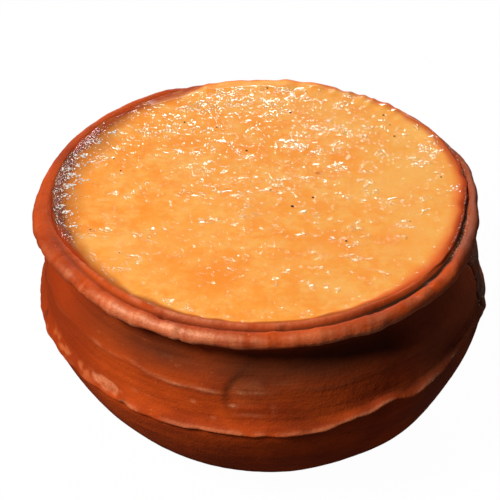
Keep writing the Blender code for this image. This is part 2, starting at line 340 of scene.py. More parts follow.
curdLook = dict(
    deep=(0.95, 0.285, 0.030),
    mid=(0.97, 0.375, 0.060),
    light=(0.97, 0.480, 0.120),
    cream=(0.97, 0.740, 0.420),
    milky=(0.97, 0.500, 0.130),
    tan=(0.95, 0.285, 0.030),
    # reddish edge of the skin, partly its own colour and partly painted shade
    amberAndShade=(0.80, 0.125, 0.028),
    burnt=(0.38, 0.038, 0.004),
    froth=(0.17, 0.045, 0.022),
    # painted shade at the skin's edge, where the rim shades it
    dim=(0.42, 0.110, 0.020),
    # noises: stretch, scale, detail, low, high
    noises=dict(patches=((0.95, 1.0, 1.0), 75.0, 4.0, 0.26, 0.62),
                clouds=((0.95, 1.05, 1.0), 210.0, 5.0, 0.38, 0.64),
                crumbs=((0.9, 1.1, 1.0), 520.0, 3.0, 0.46, 0.66),
                flecks=((1.0, 1.0, 1.0), 1300.0, 2.0, 0.30, 0.70),
                bubbles=((1.0, 1.0, 1.0), 1500.0, 2.0, 0.35, 0.65)),
    # painted over the patches in this order: noise, share, colour
    layers=[("clouds", 0.75, "light"), ("crumbs", 0.45, "deep"), ("flecks", 0.18, "deep")],
    # wrinkles: stretch, scale, curl, width, gaps
    curls=((1.0, 1.0, 1.0), 430.0, 1.7, 0.115, 0.42),
    flats=((0.85, 1.1, 1.0), 430.0, 1.2, 0.105, 0.46),
    hairs=((0.8, 1.0, 1.0), 800.0, 1.2, 0.120, 0.50),
    roughness=0.06,
    fleckRoughness=0.04,
    foamRoughness=0.05,
    dryRoughness=0.85,
    specular=0.5,
    wrinkleDepth=0.00019,
    hairShare=0.10,
    creamShare=0.50,                  # how pale the wrinkles' own ridges are
    bubbleDepth=0.00010,
    throughShare=0.25,                # how much light passes through the skin, how far, by colour
    throughDepth=0.0012,
    throughColour=(1.0, 0.35, 0.12),
)


# curd skin: orange and yellow blotches with glossy wrinkles, curly behind and flatter in
# front, and the masks painted over them
def makeCurd():
    look = curdLook
    material, tree, shader = newMaterial("curdSkin")
    noises = {name: useGroup(tree, mottleGroup, values) for name, values in look["noises"].items()}
    curls, flats, hairs = (useGroup(tree, squiggleGroup, look[name]) for name in ("curls", "flats", "hairs"))
    colour = mixColour(tree, noises["patches"], look["deep"], look["mid"])
    colour = paintLayers(tree, look, noises, colour)
    behind = attribute(tree, "behind")
    wrinkles = calculate(tree, "ADD", calculate(tree, "MULTIPLY", curls, behind),
                         calculate(tree, "MULTIPLY", flats, calculate(tree, "SUBTRACT", 1.0, behind)))
    height = calculate(tree, "MULTIPLY", wrinkles, attribute(tree, "crease"))
    colour = mixColour(tree, calculate(tree, "MULTIPLY", height, look["creamShare"]), colour, look["cream"])
    # the reddish edge here is partly painted shade, and the dim edge is painted shade
    colour = paintMasks(tree, look, ("milky", "tan", "amberAndShade", "dim", "froth", "burnt"), colour)
    height = calculate(tree, "MULTIPLY_ADD", hairs, look["hairShare"], height)
    froth = attribute(tree, "froth")
    foam = calculate(tree, "MULTIPLY", calculate(tree, "SUBTRACT", noises["bubbles"], 0.5), froth)
    normal = layBumps(tree, [(height, look["wrinkleDepth"]), (foam, look["bubbleDepth"])])
    gloss = calculate(tree, "MULTIPLY_ADD", noises["flecks"], look["fleckRoughness"], look["roughness"])
    gloss = calculate(tree, "MULTIPLY_ADD", froth, look["foamRoughness"], gloss)
    gloss = calculate(tree, "MULTIPLY_ADD", attribute(tree, "dry"), look["dryRoughness"], gloss)
    for name, value in (("Base Color", colour), ("Normal", normal), ("Roughness", gloss)):
        tree.links.new(value, shader.inputs[name])
    shader.inputs["Specular IOR Level"].default_value = look["specular"]
    shader.inputs["Subsurface Weight"].default_value = look["throughShare"]
    shader.inputs["Subsurface Radius"].default_value = look["throughColour"]
    shader.inputs["Subsurface Scale"].default_value = look["throughDepth"]
    return material


# one colour, mottled with 6 tenths of itself
def makePlain(name, colour, roughness):
    material, tree, shader = newMaterial(name)
    tone = useGroup(tree, mottleGroup, ((1.0, 1.0, 1.0), 700.0, 2.0, 0.30, 0.70))
    darker = tuple(0.6 * c for c in colour)
    tree.links.new(mixColour(tree, tone, darker, colour), shader.inputs["Base Color"])
    shader.inputs["Roughness"].default_value = roughness
    return material


clay, curd = makeClay(), makeCurd()
darkFroth = makePlain("darkFroth", (0.26, 0.065, 0.035), 0.15)
# pale foam whose whiteness is partly a painted highlight for the bubbles' glints
paleFrothGlints = makePlain("paleFrothGlints", (0.96, 0.90, 0.82), 0.20)
toasted = makePlain("toastedSpeck", (0.050, 0.010, 0.004), 0.9)
print("materials made")


# bearing and radius of the curd's edge; at the right it lies over the inner lip
curdEdge = [(0, 61.3), (5, 62.0), (12, 63.1), (20, 63.9), (28, 64.2), (42, 64.2), (100, 64.0), (106, 63.6),
            (112, 61.6), (118, 61.0), (150, 61.0), (165, 60.8), (175, 60.5), (185, 60.2), (195, 59.8),
            (205, 59.0), (212, 58.6), (220, 58.2), (230, 58.0), (300, 57.9), (306, 58.0), (314, 58.6),
            (324, 59.3), (335, 59.7), (345, 59.9), (352, 60.3)]


pot = dict(
    columns=720,
    rollRadius=2.35,
    seamDepth=32.3,
    bowlRadius=67.6,
    bowlDepth=33.4,
    bowlDrop=41.15,
    wall=6.0,
    floor=7.0,
    lean=[(0.0, 0.0), (41.7, 2.15), (64.8, 3.3)],      # height, shift towards -X
    # bearing and value round the lip
    grooveShift=[(0, 1.2), (6, 2.0), (12, 2.8), (20, 3.0), (60, 1.6), (110, 1.0), (160, 0.9),
                 (190, 1.0), (204, 0.6), (215, 0.1), (280, 0.0), (300, 0.1), (315, 0.2),
                 (335, 0.2), (345, 0.3), (352, 0.6)],
    grooveFilled=[(24, 0.0), (50, 1.0), (196, 1.0), (206, 0.80), (216, 0.55), (226, 0.25),
                  (240, 0.0), (300, 0.0)],
    grooveDeeper=[(30, 0.4), (60, 0.0), (215, 0.0), (235, 0.10), (290, 0.15), (312, 0.8), (335, 1.3),
                  (350, 1.5), (10, 1.4)],
    rimLowered=[(0, 1.2), (30, 1.2), (60, 0.0), (302, 0.0), (312, 0.5), (322, 0.9), (345, 1.1)],
    bandEdge=62.65,                   # the smooth band that fills the groove ends at this radius
    bandDip=0.30,
    # the faint ridge and the seam: bearing, depth below the lip in lip radii or rise in mm
    ridge=[(200, -0.300), (227, -0.287), (238, -0.283), (247, -0.302), (255, -0.306), (262, -0.300),
           (275, -0.290), (320, -0.30), (340, -0.31)],
    seamRise=[(218, 0.5), (235, 0.1), (253, 0.0), (282, 0.0), (288, 1.0), (292, 1.9), (296, 2.0),
              (299, 3.7), (303, 3.5), (308, 1.0), (312, 2.1), (318, 2.8), (324, 4.5), (329, 5.8),
              (335, 4.8), (341, 2.4), (352, 0.6), (20, 0.0), (200, 0.0)],
    # painted highlights on the lip's top and inner rim, painted shade in the groove, and how rubbed the lip
    # is
    glow=[(200, 0.10), (215, 0.28), (230, 0.60), (245, 0.88), (258, 0.58), (270, 0.36), (285, 0.22),
          (320, 0.14), (345, 0.0), (180, 0.0)],
    rimHighlight=[(205, 0.15), (230, 0.25), (245, 0.50), (262, 0.32), (280, 0.28), (300, 0.05), (318, 0.15),
             (335, 0.0), (195, 0.0)],
    grooveShade=[(185, 0.0), (205, 0.28), (225, 0.36), (250, 0.45), (270, 0.60), (280, 0.70), (300, 0.80),
                 (320, 0.90), (340, 0.85), (352, 0.65), (5, 0.3), (20, 0.0)],
    polish=[(190, 0.3), (215, 0.6), (232, 1.0), (256, 1.0), (275, 0.6), (335, 0.5), (0, 0.2), (100, 0.1)],
    # painted shade in a band round the neck under the lip: bearing and how dark
    neckShade=[(206, 0.0), (214, 0.22), (221, 0.48), (228, 0.58), (235, 0.68), (246, 0.80), (256, 0.60),
              (265, 0.05), (270, 0.0)],
    # patches of painted shade: how dark, level, half height, from, to, softened over, under the lip too
    shadePatches=[(0.20, -8.0, 4.2, 268, 303, 15, True), (0.80, -14.0, 6.6, 268, 303, 15, False),
                 (0.32, -27.5, 5.5, 280, 300, 10, False), (0.45, -29.1, 2.8, 306, 350, 10, False),
                 (0.18, -30.5, 2.2, 326, 352, 8, True), (0.45, -35.0, 4.5, 338, 352, 6, True)],
    # noises: blur along the profile, blur round the pot, seed
    noises=dict(lumps=(4.0, 7.0, 3), rings=(0.75, 60.0, 4), rough=(0.6, 0.9, 5), small=(1.1, 1.9, 6),
                knobs=(1.6, 4.0, 7), strokes=(2.2, 0.35, 14), flaky=(0.7, 0.8, 9)),
    # noises that are the same along the whole profile: blur round the pot, seed
    ripples=dict(ripple=(1.5, 13), ridgeWander=(2.4, 8), seamWander=(4.0, 11), seamNicks=(1.2, 12)),
    # how high the noises stand on the wall, all over, on the lip and on its roll
    wallLumps=0.08, wallRings=0.030, rough=0.014,
    lipSmall=0.04, lipStrokes=0.03, rollSmall=0.09, rollKnobs=0.07,
    # where the wall is out of round: how far, bearing, half width, height, half height
    swells=[(1.4, 14, 26, 54.0, 6.0), (0.42, 165, 22, 54.0, 6.0), (1.3, 308, 15, 22.0, 7.0),
            (1.1, 356, 12, 32.0, 7.0)],
    # how far the neck and the roll have sunk: how far, from, to, softened over
    neckSunk=[(2.6, 42, 102, 10)],
    rollSunk=[(2.3, 56, 104, 14), (0.7, 24, 52, 9)],
    # pits and knobs on the lip: bearing, radius, size, depth
    marks=[(250.6, 64.2, 1.1, -0.50), (249.2, 63.4, 1.4, 0.32), (244.9, 60.4, 1.4, -0.8),
           (223.5, 58.9, 1.2, 0.45), (226.5, 62.0, 1.0, -0.3), (312.3, 62.9, 1.1, -0.65),
           (317.9, 62.2, 1.4, -0.7), (273.1, 62.0, 1.6, 0.40), (276.4, 60.0, 1.2, -0.5),
           (335.2, 61.0, 2.4, 0.60), (296.0, 63.0, 2.4, 0.28), (232.0, 63.5, 2.6, 0.28),
           (196.5, 64.2, 1.5, -0.40), (200.5, 63.8, 1.7, -0.35), (206.0, 62.2, 2.2, 0.25),
           (240.0, 63.4, 2.2, 0.22), (262.0, 63.2, 2.2, 0.20), (284.0, 62.8, 2.0, 0.20)],
    thumb=dict(at=266.3, deep=-0.304, halfWidth=5.4, halfDeep=0.082, dent=0.50, streak=0.12,
               streaks=[(0.045, 0.8), (0.02, 0.5), (-0.015, 0.4), (-0.05, 0.9), (-0.07, 0.5)]),
    # the painted shade on the thumb mark's left wall is a crescent that bends away from this bearing and
    # height
    thumbEdge=dict(at=261.0, height=51.5, bend=0.055),    # its dark left edge bends away from here
    # rubbed spots: bearing, height, half width in degrees, half height, how pale
    scuffs=[(265.0, 54.2, 1.0, 0.5, 0.75), (262.9, 50.0, 0.9, 0.5, 0.95), (258.0, 45.3, 0.6, 0.5, 0.7),
            (253.2, 49.6, 0.6, 0.4, 0.7), (268.5, 54.4, 3.2, 0.5, 0.45), (266.9, 47.1, 2.8, 0.6, 0.35),
            (275.8, 57.1, 2.6, 0.35, 0.35), (268.2, 56.6, 3.4, 1.6, 0.26), (272.6, 51.0, 0.6, 3.0, 0.22),
            (263.4, 55.4, 0.8, 0.6, 0.35), (246.0, 60.5, 5.0, 0.5, 0.2), (238.0, 47.0, 3.0, 0.5, 0.22)],
    flake=dict(at=228.1, deep=-0.460, halfWidth=4.9, halfDeep=0.021, depth=0.26),
    chip=dict(at=234.5, deep=-0.503, halfWidth=1.6, halfHeight=1.4, depth=0.75),
    crevices=dict(left=190.5, right=346.8, halfWidth=0.75, depth=0.9),
)


# squarish bowl: radius falls as cos to the 0.408, height as sin to the 1.92
def bowlCurve(inset, lift, base, count):
    top, drop = lipHeight - pot["bowlDepth"], pot["bowlDrop"] - lift
    turn = math.asin(((top - base) / drop) ** (1 / 1.92)) * np.linspace(0.0, 1.0, count) ** 0.8
    return np.stack([(pot["bowlRadius"] - inset) * np.cos(turn) ** 0.408,
                     top - drop * np.sin(turn) ** 1.92], axis=1)


# Catmull-Rom curve through (radius, height) points
def curveThrough(points, steps=10):
    knots = np.array([points[0], *points, points[-1]], float)
    t = (np.arange(steps) / steps)[None, :, None]
    p0, p1, p2, p3 = (knots[i:len(knots) - 3 + i, None] for i in range(4))
    path = 0.5 * (2 * p1 + (p2 - p0) * t + (2 * p0 - 5 * p1 + 4 * p2 - p3) * t ** 2
                  + (3 * p1 - p0 - 3 * p2 + p3) * t ** 3)
    return np.concatenate([path.reshape(-1, 2), knots[-1:]])


# length of a path up to each of its points
def pathLength(path):
    return np.concatenate([[0.0], np.cumsum(np.hypot(*np.diff(path, axis=0).T))])


# points along a path about one gap apart, the last one left out
def spaced(path, gap):
    along = pathLength(path)
    at = np.linspace(0.0, along[-1], max(2, round(along[-1] / gap) + 1))[:-1]
    return np.stack([np.interp(at, along, path[:, i]) for i in range(2)], axis=1)


# floor, cavity, inner lip, groove, roll, neck, shoulder, seam and bowl as (radius, height)
def potProfile():
    inside = bowlCurve(pot["wall"], pot["floor"], pot["floor"], 5)[::-1]
    mouth = np.array([(61.4, -24.0), (58.4, -14.5), (56.7, -8.0)])
    turn = np.radians(np.linspace(140, -80, 60))
    roll = np.stack([lipRadius - pot["rollRadius"] + pot["rollRadius"] * np.cos(turn),
                     pot["rollRadius"] * (np.sin(turn) - 1.0)], axis=1)
    inner = curveThrough([(57.4, -2.2), (57.6, -0.9), (58.1, -0.18), (58.75, 0.06), (59.3, -0.2),
                          (59.7, -0.62), (60.1, -0.84), (60.5, -0.90), tuple(roll[0])], 8)[:-1]
    neck = curveThrough([tuple(roll[-1]), (61.5, -5.9), (60.4, -9.2), (61.3, -12.6), (63.6, -16.6),
                         (64.6, -19.2), (65.3, -24.6), (66.1, -28.6), (67.45, -31.3), (68.05, -32.15)], 12)
    edge = curveThrough([(68.05, -32.15), (68.1, -32.5), (67.9, -32.85), (67.35, -33.05), (67.2, -33.5)], 6)
    bowl = bowlCurve(0.0, 0.0, 0.0, 80)
    bowl[:, 0] -= 0.4 * np.exp(-(bowl[:, 1] - bowl[0, 1]) ** 2 / 2.0)       # drawn in under the seam
    lip = [mouth, spaced(inner, 0.38), spaced(roll, 0.40), spaced(neck[:62], 0.62), spaced(neck[61:], 0.50),
           spaced(edge, 0.25)]
    lip = [part + np.array([0.0, lipHeight]) for part in lip]
    return np.concatenate([inside, *lip, spaced(bowl[:26], 0.90), spaced(bowl[25:], 2.8), bowl[-1:]])


# noise on an even grid of bearing and path length, read off at the profile's rows
def potNoise(profile):
    cell = (0.5, 2 * math.pi * lipRadius / pot["columns"])
    place = pathLength(profile) / cell[0]
    low = place.astype(int)

    def noiseAt(alongLength, aroundLength, seed):
        field = blurredNoise((512, pot["columns"]), cell, (alongLength, aroundLength), seed)
        return field[low] + (field[low + 1] - field[low]) * (place - low)[:, None]
    return noiseAt


# thumb mark: an oval dent, steep on its left, and the streaks that cross it
def thumbMark(bearing, deep):
    t = pot["thumb"]
    across = ((bearing - t["at"]) + 0.8 * np.sin(deep * 40.0)) / t["halfWidth"]
    ring = np.sqrt(across ** 2 + ((deep - t["deep"]) / t["halfDeep"]) ** 2)
    dent = (1.0 - ease((ring - 0.70) / 0.32)) * (0.30 + 0.70 * ease((0.85 - across) / 1.5))
    return dent, sum(part * strength((deep - t["deep"] - at) * lipRadius, 0.45) for at, part in t["streaks"])


# flake broken off above the seam: 1 inside a rounded box whose border is rough
def brokenFlake(bearing, deep, flaky):
    f = pot["flake"]
    across = (bearing - f["at"]) / f["halfWidth"]
    up = (deep - f["deep"] + 0.0006 * (bearing - f["at"])) / f["halfDeep"]
    border = (np.abs(across) ** 3 + np.abs(up) ** 3) ** (1 / 3) + 0.12 * flaky
    return 1.0 - ease((border - 0.85) / 0.22)


# distance in mm from each of the two wavy lines where the lapped clay of the far side ends
def creviceGaps(bearing, deep):
    left = pot["crevices"]["left"] + 6.0 * ease((-0.40 - deep) / 0.08) + 0.8 * np.sin(deep * 55.0)
    right = pot["crevices"]["right"] - 2.0 * ease((-0.47 - deep) / 0.04) + 0.5 * np.sin(deep * 70.0)
    return [(bearing - line) * math.pi / 180.0 * lipRadius for line in (left, right)]


def grooveWider(bearing):             # how much wider the groove is at the right
    return 0.25 * span(bearing, 308, 360, 14)


# rise of the lip's top: the groove is filled to a smooth band at the left and back, and a
# bell deeper at the right, where the inner lip is lower too
def shapeGroove(radius, level, bearing, ripple, topRows, shown):
    nearCrest = level > -3.0
    edge, dip = pot["bandEdge"], pot["bandDip"]
    border = np.minimum(around(bearing, curdEdge), 61.4)
    band = -dip * ((edge - radius) / (edge - border)) ** 2
    band = np.where(radius < border, np.maximum(-dip - 0.9 * (border - radius), -1.4), band)
    inBand = (radius > 57.9) & (radius < edge) & topRows & nearCrest
    fill = (band - level) * around(bearing, pot["grooveFilled"]) * inBand
    trench = around(bearing, pot["grooveDeeper"]) * strength(radius - 60.9, 0.95 + grooveWider(bearing))
    trench = trench * (1.0 + 0.16 * ripple) * topRows
    lowered = around(bearing, pot["rimLowered"]) * ease((60.3 - radius) / 0.9)
    return fill - (trench + lowered) * nearCrest * shown


# how far the pot is out of round: spread by bells on the wall, at the left of the lip and by
# the groove's shift, and sunk at the back
def warpPot(radius, level, bearing, onRoll, outside):
    nearLip = ease((level + 8.5) / 5.5)
    swell = sum(far * bell(bearing, at, wide) * strength(level + lipHeight - up, tall)
                for far, at, wide, up, tall in pot["swells"])
    bulge = 1.9 * (bell(bearing, 193, 15) - 0.28 * bell(bearing, 353, 14)) * ease((radius - 55.25) / 9.75)
    share = np.where(radius < 60.3, ease((radius - 55.5) / 3.0), np.clip((65.0 - radius) / 4.7, 0.0, 1.0))
    shift = around(bearing, pot["grooveShift"]) * share
    neckSunk, rollSunk = (sum(far * span(bearing, *reach) for far, *reach in pot[name])
                          for name in ("neckSunk", "rollSunk"))
    sunk = neckSunk * (1.0 - onRoll) + rollSunk * onRoll
    return (bulge + shift) * nearLip + swell * outside, sunk * nearLip


# rings of points, one for each row of the profile: pushed along its normal by the noises and
# marks, raised or cut at the groove, then spread, sunk and leaned as a whole
def shapePot():
    profile = potProfile()
    radius, height = profile[:, :1], profile[:, 1:]
    level = height - lipHeight
    deep = level / lipRadius
    bearing = (np.arange(pot["columns"]) * 360.0 / pot["columns"])[None, :]
    slope = np.gradient(profile, axis=0)
    length = np.hypot(*slope.T)[:, None]
    outR, outZ = -slope[:, 1:] / length, slope[:, :1] / length        # outward normal in the profile

    noiseAt = potNoise(profile)
    lumps, rings, rough, small, knobs, strokes, flaky = (
        noiseAt(*sizes) for sizes in pot["noises"].values())
    ripple, ridgeWander, seamWander, seamNicks = (
        noiseAt(60.0, *sizes)[:1] for sizes in pot["ripples"].values())

    row = np.arange(len(radius))[:, None]
    start = int(np.argmax(radius[:, 0] >= 57.3))                      # rows after this one show
    shown = (row >= start) & (height > 1.0)
    outside = shown & (row > int(np.argmax(height[:, 0] > lipHeight - 0.5)) + 20)
    topRows = row < start + 45
    onRoll = ease((radius - 60.45) / 1.95)
    lipOnly = ease((level + 6.5) / 2.0) * (radius > 57.0)
    body = outside * (1.0 - lipOnly)
    turned = 0.25 + 0.75 * ease((level + pot["seamDepth"]) / 1.5)     # turning lines fade below the seam
    push = (pot["wallLumps"] * lumps + pot["wallRings"] * rings * turned) * body
    push = push + pot["rough"] * rough * shown
    even = 1.0 - 0.75 * span(bearing, 92, 186, 14)                    # the back of the roll is smoother
    uneven = (pot["rollSmall"] * small + pot["rollKnobs"] * knobs) * onRoll * even
    push = push + (uneven + pot["lipSmall"] * small + pot["lipStrokes"] * strokes) * lipOnly
    raised = shapeGroove(radius, level, bearing, ripple, topRows, shown)

    # faint ridge round the shoulder, with a hollow above it
    ridgeAt = around(bearing, pot["ridge"]) + 0.0045 * ridgeWander
    ridgeShare = (0.16 + 0.84 * span(bearing, 226, 258, 5)) * (1.0 + 0.25 * ripple)
    above = (deep - ridgeAt) * lipRadius
    ridge = (0.22 * strength(above, 0.65) - 0.06 * strength(above - 1.1, 0.8)) * ridgeShare * body

    # thumb mark, flake, the chip at its lower end, and the two crevices
    dent, streaks = thumbMark(bearing, deep)
    dip, stripe = pot["thumb"]["dent"], pot["thumb"]["streak"]
    flake = brokenFlake(bearing, deep, flaky) * body
    nick = pot["chip"]
    chip = strength(bearing - nick["at"], nick["halfWidth"]) * outside
    chip = chip * strength((deep - nick["deep"]) * lipRadius, nick["halfHeight"])
    leftGap, rightGap = creviceGaps(bearing, deep)
    rising = ease((deep + 0.50) / 0.03) * ease((-0.10 - deep) / 0.06) * body
    halfWidth = pot["crevices"]["halfWidth"]
    crevice = (strength(leftGap, halfWidth) + strength(rightGap, halfWidth)) * rising
    push = push + ridge + (-dip * dent + stripe * streaks * dent) * body
    push = push - pot["flake"]["depth"] * flake + 0.10 * flake * small
    push = push - nick["depth"] * chip - pot["crevices"]["depth"] * crevice
    for at, where, size, depth in pot["marks"]:
        distance = np.hypot((bearing - at) * math.pi / 180.0 * where, radius - where)
        push = push + depth * strength(distance, size / 1.3) * lipOnly * topRows

    # the seam's edge wanders and is nicked; the roll hangs fuller at the right front
    aboveSeam = level + pot["seamDepth"]
    wander = 0.12 * seamWander + 0.09 * seamNicks
    lift = (around(bearing, pot["seamRise"], 0.7) + wander) * strength(aboveSeam, 3.4) * outside
    seamEdge = strength(aboveSeam - 0.4, 0.8) * outside * (0.8 + 0.3 * ripple)
    push = push + (0.12 * small + 0.06 * rough) * strength(aboveSeam, 1.2) * outside + 0.18 * seamEdge
    push = push + 0.45 * strength(level + 3.4, 1.6) * span(bearing, 298, 336, 12) * lipOnly
    push = push - 0.5 * span(bearing, 352, 372, 4) * strength(level + 31.5, 1.6) * outside

    spread, sunk = warpPot(radius, level, bearing, onRoll, outside)
    newRadius = np.where(radius < 0.01, 0.0, radius + spread + outR * push)
    newHeight = height - sunk + np.where(shown, lift + outZ * push + raised, 0.0)
    turn = np.radians(bearing)
    lean = -np.interp(newHeight, *np.array(pot["lean"]).T)
    points = np.stack([newRadius * np.cos(turn) + lean, newRadius * np.sin(turn), newHeight], axis=-1)

    masks = clayMasks(radius, level, bearing, (outside, body, lipOnly, lipOnly * topRows),
                      (ridge, dent, flake, chip, crevice, rising, rightGap),
                      (lumps, rough, small, ripple, strokes))
    masks["turned"] = turned
    return insideSolids(points), {key: np.clip(mask + np.zeros_like(push), 0.0, 1.0).ravel()
                                  for key, mask in masks.items()}


# colour masks of the clay: each a sum of bells and spans over the level and the bearing,
# broken up by the noises
def clayMasks(radius, level, bearing, places, marks, noises):
    outside, body, lipOnly, upperLip = places
    ridge, dent, flake, chip, crevice, rising, rightGap = marks
    lumps, rough, small, ripple, strokes = noises
    deep, height, aboveSeam = level / lipRadius, level + lipHeight, level + pot["seamDepth"]

    # the lip: painted highlights on the crest and inner rim, painted shade in the groove, wet at the right,
    # grit and painted glints in its right end, and painted light from below on the roll's underside
    right = span(bearing, 308, 392, 12)
    bumpy = np.clip(0.76 + 0.20 * small + 0.16 * ripple + 0.20 * strokes, 0.0, 1.15)
    glow = around(bearing, pot["glow"]) * strength(radius - 64.1, 1.05) * lipOnly * bumpy
    glow = glow + around(bearing, pot["rimHighlight"]) * strength(radius - 58.9, 0.75) * upperLip * bumpy
    glow = glow + 0.6 * strength(level + 3.6, 1.0) * span(bearing, 288, 336, 10) * lipOnly
    groove = strength(radius - 60.35, 0.45) * upperLip * (1.0 - around(bearing, pot["grooveFilled"]))
    shade = around(bearing, pot["grooveShade"]) * strength(radius - 60.4, 0.80 + grooveWider(bearing))
    shade = shade * upperLip
    grooveWet = right * ease((radius - 59.6) / 0.6) * ease((62.3 - radius) / 0.9) * upperLip
    speckled = span(bearing, 336, 384, 10) * strength(radius - 61.2, 0.8) * upperLip

    # painted shade on the strip past the right crevice, with a painted grey sheen and glints on it, fading
    # out with the bearing, upwards and downwards
    past = (bearing - 347.0) % 360.0
    beyond = ease((past - 0.8) / 1.6) * (1.0 - ease((past - 5.0 - 3.0 * lumps) / 14.0)) * (past < 90) * body
    beyond = beyond * ease((deep + 0.74 + 0.04 * lumps) / 0.22) * ease((-0.06 - deep) / 0.12)
    # painted glints: a broken pale line along the right crevice
    glintLine = strength(rightGap - 0.2, 0.8) * rising * (bearing > 300) * ease(0.5 + small)

    # pale on the flake, the faint ridge and the scuffs, and a painted highlight along the seam; a painted
    # grey sheen along the seam's right end
    scuffs = sum(part * strength(bearing - at, wide) * strength(height - up, tall)
                 for at, up, wide, tall, part in pot["scuffs"])
    seamLine = strength(aboveSeam - 0.3, 0.55) * outside * ease(0.55 + 0.4 * ripple + 0.2 * small)
    paleAndHighlight = (0.58 * flake * ease(0.85 + 0.30 * rough) + 2.2 * np.maximum(ridge, 0.0) * ease(0.6 + 0.4 * small)
             + 0.50 * seamLine * span(bearing, 226, 308, 14) + scuffs * ease(0.8 + 0.3 * rough))
    sheenLine = 0.8 * seamLine * span(bearing, 318, 352, 10) + strength(rightGap + 0.9, 0.5) * rising
    chips = 0.45 * ease(rough - 0.3) * span(bearing, 200, 221, 6) * strength(deep + 0.472, 0.026) * body

    # painted shade: the patches, a band round the neck under the lip, the groove, the back right of the lip,
    # the crescent on the thumb mark's left wall, the crevices, the chip and the strip past the right crevice
    paintedShade = sum(part * strength(level - at, tall) * span(bearing, *reach) * (outside if underLip else body)
               for part, at, tall, *reach, underLip in pot["shadePatches"])
    thumbEdge = pot["thumbEdge"]
    bent = bearing - thumbEdge["at"] - thumbEdge["bend"] * (height - thumbEdge["height"]) ** 2
    crescent = strength(bent, 0.95) * strength(height - thumbEdge["height"] - 1.5, 5.0)
    paintedShade = paintedShade + around(bearing, pot["neckShade"]) * strength(level + 12.4, 5.6) * body
    paintedShade = paintedShade + groove * (0.10 + 0.60 * right) + shade
    paintedShade = paintedShade + 0.35 * span(bearing, 20, 46, 10) * lipOnly + 0.42 * crescent * body
    paintedShade = paintedShade + 0.90 * crevice + 0.5 * chip + 0.25 * beyond
    # painted shade: a soft dark stripe near bearing 309.5, and the left and back left of the body darkened
    bodyShade = 0.5 * strength(bearing - 309.5, 1.6) * strength(deep + 0.40, 0.06)
    bodyShade = (bodyShade + 0.75 * span(bearing, 150, 216, 14)) * body

    # painted grey sheen on the lip's right, along the seam's right end and its crevice, on the body's right
    # and past the right crevice
    paintedSheen = 0.7 * span(bearing, 338, 378, 10) * ease((radius - 61.3) / 0.8) * lipOnly + 0.7 * sheenLine
    paintedSheen = paintedSheen + 0.45 * span(bearing, 318, 352, 16) * body + 0.65 * beyond
    # grit and painted glints along the right crevice, in the groove's right end, on the lip's back left,
    # along the seam's right end and past the right crevice
    gritAndGlints = 0.95 * glintLine + 0.55 * speckled + 0.10 * upperLip * span(bearing, 112, 150, 10) + 0.5 * sheenLine
    gritAndGlints = gritAndGlints + 0.40 * beyond * ease(0.2 + small) * ease((10.0 - past) / 5.0)
    polish = lipOnly * ease((radius - 62.9) / 0.6) * around(bearing, pot["polish"]) + 0.06 * body
    return dict(pale=chips + 0.12 * dent, paintedShade=paintedShade * (1.0 - 0.75 * np.clip(sheenLine, 0.0, 1.0)),
                bodyShade=bodyShade, glow=glow + 0.8 * paleAndHighlight * body, paintedSheen=paintedSheen, gritAndGlints=gritAndGlints, polish=polish,
                wet=0.3 * beyond + 0.6 * grooveWet)


# no point leaves the box round the CAD solids
def insideSolids(points):
    low, high = (np.array(corner) / mm for corner in cadBox)
    return np.clip(points, low + 0.02 * (low < -1.0), high - 0.02)


# quads of a closed grid of rings, each ring joined to the next
def ringFaces(rows, columns):
    a = (np.arange(rows - 1)[:, None] * columns + np.arange(columns)[None, :]).ravel()
    b = (np.arange(rows - 1)[:, None] * columns + (np.arange(columns)[None, :] + 1) % columns).ravel()
    return np.stack([a, a + columns, b + columns, b], axis=1)


# the rings joined, closed by a fan on the cavity's floor and one under the base
def makePot():
    points, masks = shapePot()
    rows, columns, _ = points.shape
    flat = np.concatenate([points.reshape(-1, 3), [[0.0, 0.0, pot["floor"]], [0.0, 0.0, 0.0]]])
    masks = {key: np.append(mask, [0.0, 0.0]) for key, mask in masks.items()}
    ring = np.arange(columns)
    top, bottom = rows * columns, rows * columns + 1
    faces = ringFaces(rows, columns).tolist()
    faces += np.stack([np.full(columns, top), ring, np.roll(ring, -1)], axis=1).tolist()
    last = ring + (rows - 1) * columns
    faces += np.stack([np.full(columns, bottom), np.roll(last, -1), last], axis=1).tolist()
    addMesh("handi", flat, faces, clay, masks, ["clay_pot"])


makePot()


